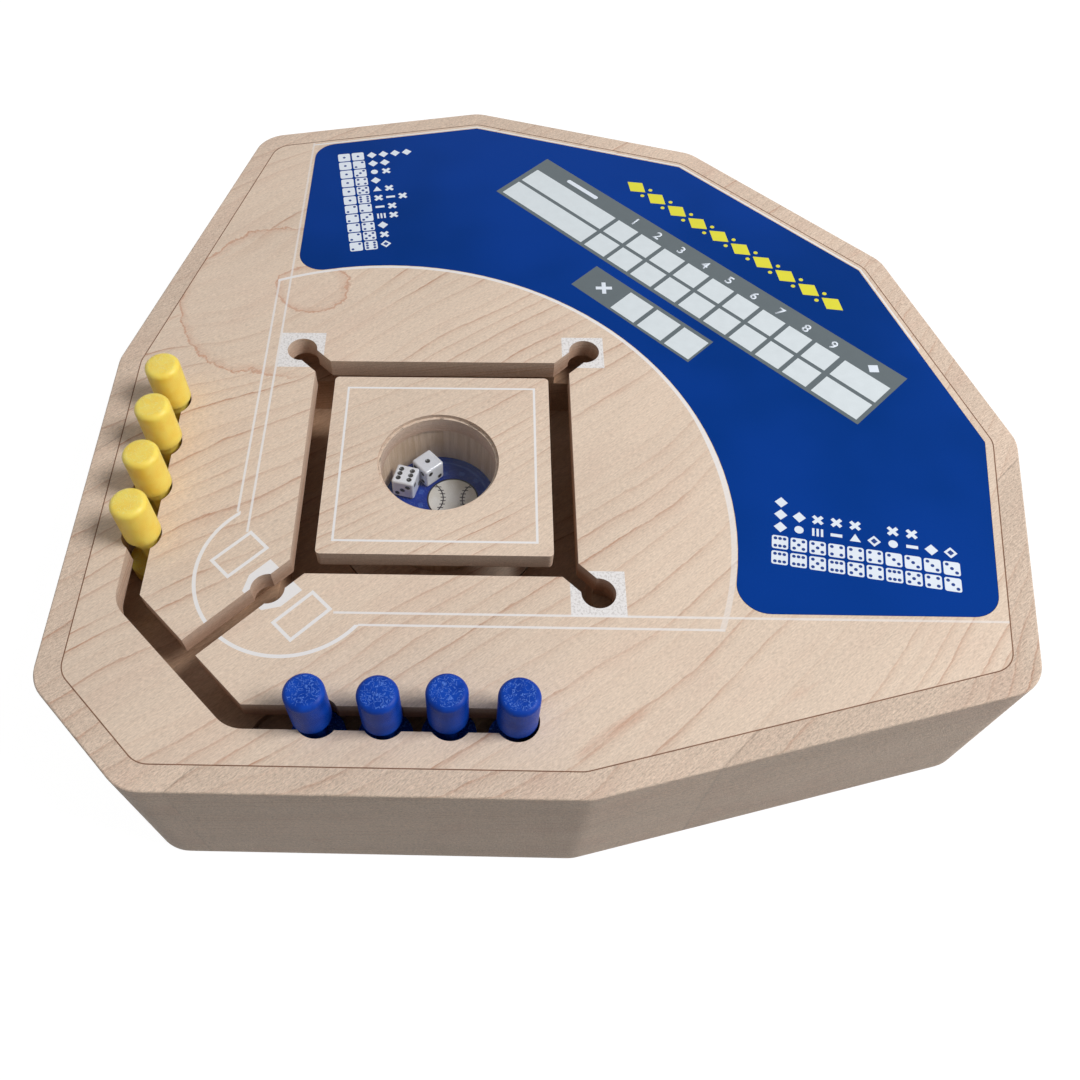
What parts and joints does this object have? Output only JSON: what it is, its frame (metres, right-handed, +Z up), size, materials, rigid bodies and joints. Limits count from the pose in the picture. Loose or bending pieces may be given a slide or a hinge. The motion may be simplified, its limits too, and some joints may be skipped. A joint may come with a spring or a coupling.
{
  "type": "pop up dice board game",
  "caption": "Thick wooden baseball board game: captive runner pegs slide in routed tracks round a sprung square block that pops dice under a clear window.",
  "frame": {"origin": "middle of the base, on the surface that the rubber feet stand on", "axes": "+Z up out of the playing board; home plate towards -X -Y, first base towards +X -Y, third base towards -X +Y, centre field towards +X +Y"},
  "size_m": [0.3302, 0.3302, 0.0796],
  "materials": {
    "case_maple": "sanded maple, clear satin finish",
    "board_maple": "sanded maple, clear satin finish, printed lines",
    "inner_maple": "raw routed maple",
    "cup_maple": "turned maple",
    "base_ply": "sanded birch plywood",
    "blue_laminate": "glossy blue laminate with white and grey print",
    "clear_acrylic": "clear polished acrylic",
    "printed_card": "printed blue and white",
    "dice_white": "white with black pips",
    "blue_plastic": "fine layered royal blue",
    "yellow_plastic": "fine layered yellow",
    "screw_steel": "zinc plated",
    "spring_steel": "bright spring wire",
    "bushing_plastic": "natural nylon",
    "foot_rubber": "black, matt"
  },
  "bodies": {
    "board": {"case_frame": "case_maple", "top_board": "board_maple", "score_panel": "blue_laminate", "track_board": "inner_maple", "bearing_board": "inner_maple", "base_panel": "base_ply", "base_screws": "screw_steel", "rubber_feet": "foot_rubber", "guide_bushings": "bushing_plastic", "return_spring": "spring_steel"},
    "press": {"press_block": "board_maple", "window_disc": "clear_acrylic", "dice_cup": "cup_maple", "cup_plug": "cup_maple", "floor_card": "printed_card", "press_disc": "inner_maple", "guide_pins": "screw_steel"},
    "die_six": {"die_six": "dice_white"},
    "die_one": {"die_one": "dice_white"},
    "yellow_peg_1": {"yellow_peg_1": "yellow_plastic"},
    "yellow_peg_2": {"yellow_peg_2": "yellow_plastic"},
    "yellow_peg_3": {"yellow_peg_3": "yellow_plastic"},
    "yellow_peg_4": {"yellow_peg_4": "yellow_plastic"},
    "blue_peg_1": {"blue_peg_1": "blue_plastic"},
    "blue_peg_2": {"blue_peg_2": "blue_plastic"},
    "blue_peg_3": {"blue_peg_3": "blue_plastic"},
    "blue_peg_4": {"blue_peg_4": "blue_plastic"}
  },
  "joints": [
    {"name": "press_slide", "type": "slide", "parent": "board", "child": "press", "axis": [0, 0, -1], "range_m": [0, 0.005], "stiffness_N_per_m": 1200, "springref_m": -0.005, "deforming": ["return_spring"]},
    {"name": "die_six_hop", "type": "slide", "parent": "press", "child": "die_six", "axis": [0, 0, 1], "range_m": [0, 0.013]},
    {"name": "die_one_hop", "type": "slide", "parent": "press", "child": "die_one", "axis": [0, 0, 1], "range_m": [0, 0.013]},
    {"name": "yellow_peg_1_lift", "type": "slide", "parent": "board", "child": "yellow_peg_1", "axis": [0, 0, 1], "range_m": [0, 0.0065]},
    {"name": "yellow_peg_2_lift", "type": "slide", "parent": "board", "child": "yellow_peg_2", "axis": [0, 0, 1], "range_m": [0, 0.0065]},
    {"name": "yellow_peg_3_lift", "type": "slide", "parent": "board", "child": "yellow_peg_3", "axis": [0, 0, 1], "range_m": [0, 0.0065]},
    {"name": "yellow_peg_4_lift", "type": "slide", "parent": "board", "child": "yellow_peg_4", "axis": [0, 0, 1], "range_m": [0, 0.0065]},
    {"name": "blue_peg_1_lift", "type": "slide", "parent": "board", "child": "blue_peg_1", "axis": [0, 0, 1], "range_m": [0, 0.0065]},
    {"name": "blue_peg_2_lift", "type": "slide", "parent": "board", "child": "blue_peg_2", "axis": [0, 0, 1], "range_m": [0, 0.0065]},
    {"name": "blue_peg_3_lift", "type": "slide", "parent": "board", "child": "blue_peg_3", "axis": [0, 0, 1], "range_m": [0, 0.0065]},
    {"name": "blue_peg_4_lift", "type": "slide", "parent": "board", "child": "blue_peg_4", "axis": [0, 0, 1], "range_m": [0, 0.0065]}
  ]
}
